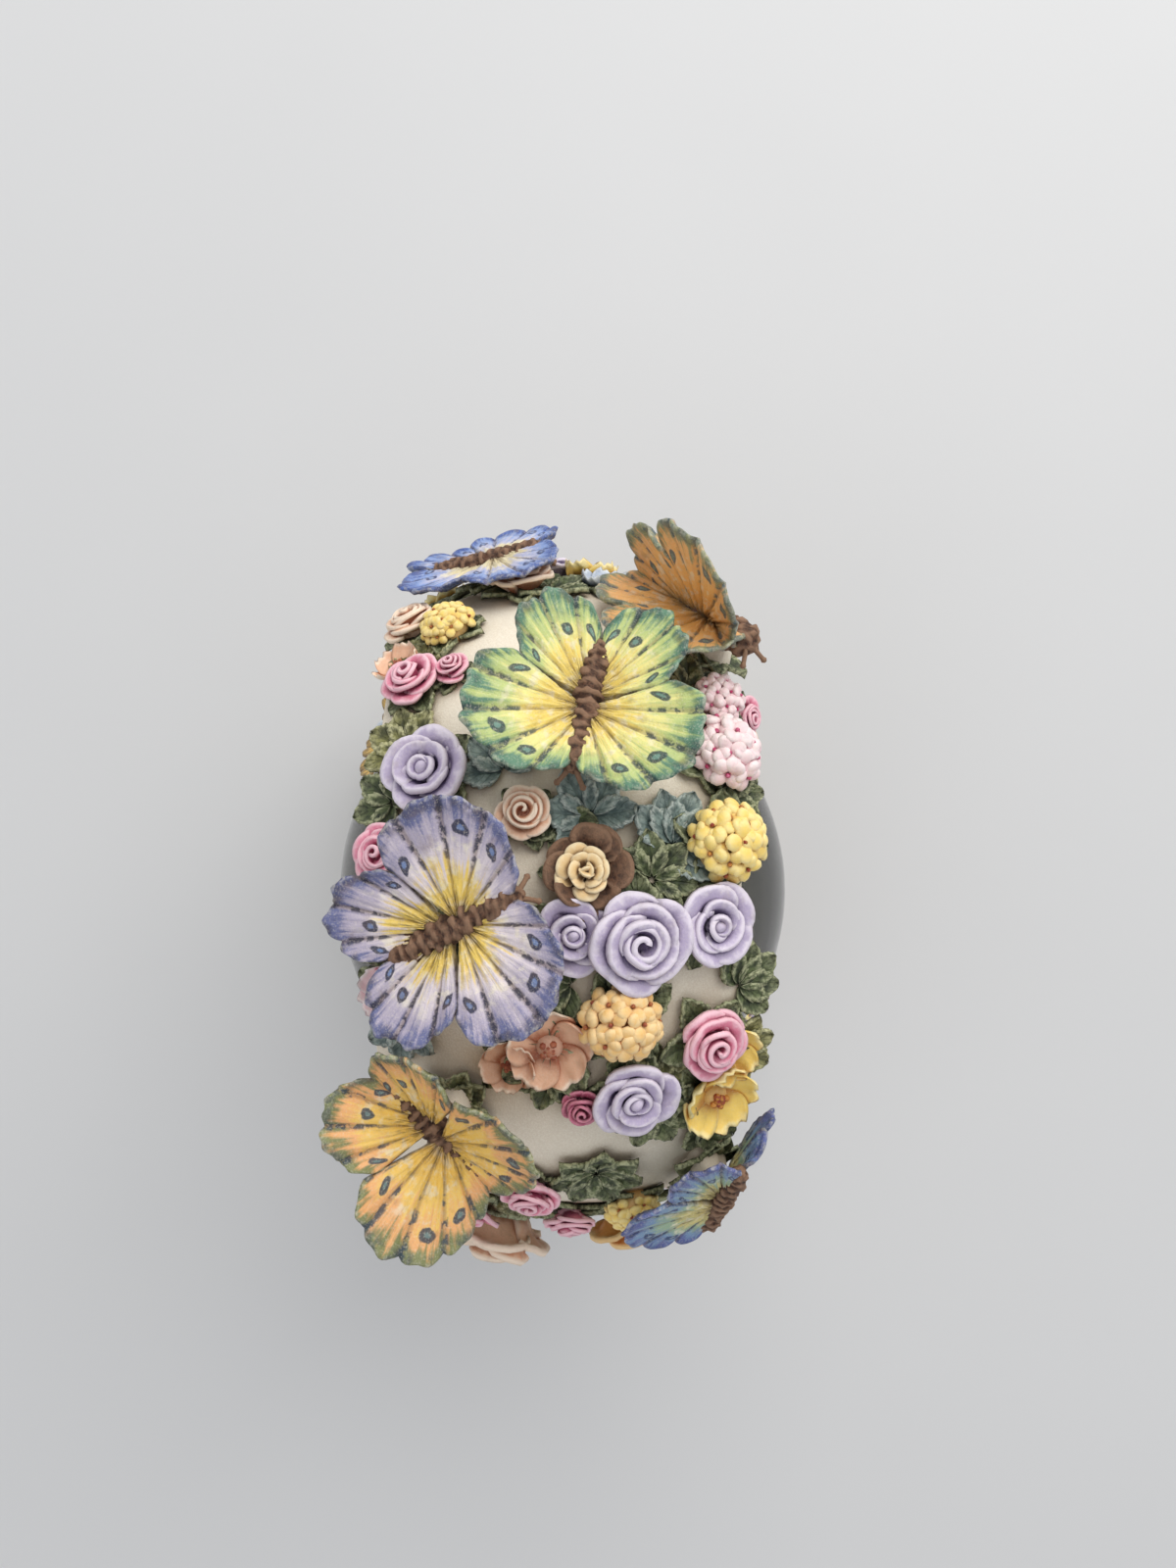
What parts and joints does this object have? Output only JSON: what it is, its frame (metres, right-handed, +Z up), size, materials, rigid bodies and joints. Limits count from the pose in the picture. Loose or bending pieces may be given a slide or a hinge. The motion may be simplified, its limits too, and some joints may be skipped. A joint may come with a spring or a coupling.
{
  "type": "water globe ornament",
  "caption": "Free-standing water globe in an upright cast arch covered with painted butterflies and flowers, on an oval base holding a wind-up musical movement.",
  "frame": {"origin": "middle of the whole object's box, on the surface the feet stand on", "axes": "+Z up; the arch's plane is XZ; the ball shows through the arch towards -Y and +Y; -Y is the front"},
  "size_m": [0.1648, 0.1218, 0.1856],
  "materials": {
    "brass": "satin brass",
    "cover_board": "dark moulded board",
    "cream_resin": "fine sandy matt resin with an antique wash",
    "felt": "green felt",
    "globe_glass": "clear blown glass",
    "globe_liquid": "clear water with a little preservative",
    "paint_amber": "hand-painted resin, satin, amber with olive rims",
    "paint_bark": "hand-painted resin, matt brown",
    "paint_blue": "hand-painted resin, satin, blue and lavender",
    "paint_blush": "hand-painted resin, satin, white to pink",
    "paint_green": "hand-painted resin, satin, yellow to teal green",
    "paint_lemon": "hand-painted resin, satin, yellow",
    "paint_moss": "hand-painted resin, matt, dry-brushed dark green",
    "paint_orange": "hand-painted resin, satin, orange with olive rims",
    "paint_peach": "hand-painted resin, satin, peach",
    "paint_rose": "hand-painted resin, satin, pink with deep recesses",
    "paint_teal": "hand-painted resin, satin, green-blue and violet",
    "paint_violet": "hand-painted resin, satin, lavender to navy",
    "rubber": "matt black rubber",
    "steel": "bright steel",
    "zinc_casting": "bare die casting"
  },
  "bodies": {
    "root": {"base_shell": "cream_resin", "flower_arch": "cream_resin", "globe_glass": "globe_glass", "globe_liquid": "globe_liquid", "globe_stopper": "rubber", "neck_sleeve": "rubber", "figurine": "paint_rose", "bottom_cover": "cover_board", "cover_felt": "felt", "cover_screw_1": "steel", "cover_screw_2": "steel", "cover_screw_3": "steel", "cover_screw_4": "steel", "movement_screw_1": "steel", "movement_screw_2": "steel", "rubber_foot_1": "rubber", "rubber_foot_2": "rubber", "rubber_foot_3": "rubber", "rubber_foot_4": "rubber", "movement_frame": "zinc_casting", "barrel_bridge": "zinc_casting", "governor_bracket": "zinc_casting", "tone_comb": "steel", "comb_screw_1": "steel", "comb_screw_2": "steel", "butterfly_green": "paint_green", "butterfly_violet": "paint_violet", "butterfly_orange": "paint_orange", "butterfly_blue": "paint_blue", "butterfly_amber": "paint_amber", "butterfly_teal": "paint_teal", "butterfly_front": "paint_rose", "butterfly_back": "paint_lemon", "rose_violet": "paint_violet", "rose_pink": "paint_rose", "rose_peach": "paint_peach", "rose_deep": "paint_rose", "rose_crimson": "paint_rose", "nest_flower": "paint_bark", "cluster_apricot": "paint_peach", "cluster_yellow": "paint_lemon", "cluster_blush": "paint_blush", "cluster_lemon": "paint_lemon", "blossom_lilac": "paint_violet", "blossom_peach": "paint_peach", "blossom_yellow": "paint_lemon", "blossom_orange": "paint_orange", "lily_peach": "paint_peach", "garland_front": "paint_moss", "garland_back": "paint_moss", "garland_right": "paint_moss", "garland_left": "paint_moss"},
    "winding": {"winding_arbor": "steel", "winding_key": "brass"},
    "barrel": {"spring_barrel": "brass", "mainspring": "steel"},
    "cylinder": {"note_cylinder": "brass", "cylinder_gear": "brass"},
    "idler": {"idler_wheel": "brass"},
    "governor": {"governor_worm": "steel"}
  },
  "joints": [
    {"name": "key_wind", "type": "hinge", "parent": "root", "child": "winding", "pos_m": [-0.01264, -0.00091, 0.012], "axis": [0, 0, 1], "continuous": true},
    {"name": "barrel_spin", "type": "hinge", "parent": "root", "child": "barrel", "pos_m": [-0.01264, -0.00091, 0.024], "axis": [0, 0, 1], "continuous": true},
    {"name": "cylinder_spin", "type": "hinge", "parent": "root", "child": "cylinder", "pos_m": [0.01136, -0.00091, 0.0316], "axis": [1, 0, 0], "continuous": true},
    {"name": "idler_spin", "type": "hinge", "parent": "root", "child": "idler", "pos_m": [0.02336, 0.00709, 0.02629], "axis": [1, 0, 0], "continuous": true},
    {"name": "governor_spin", "type": "hinge", "parent": "root", "child": "governor", "pos_m": [0.02626, 0.01339, 0.028], "axis": [0, 0, 1], "continuous": true}
  ],
  "couplings": [
    {"joint": "cylinder_spin", "follows": "barrel_spin", "ratio": 4},
    {"joint": "idler_spin", "follows": "barrel_spin", "ratio": -12},
    {"joint": "governor_spin", "follows": "barrel_spin", "ratio": 96}
  ]
}
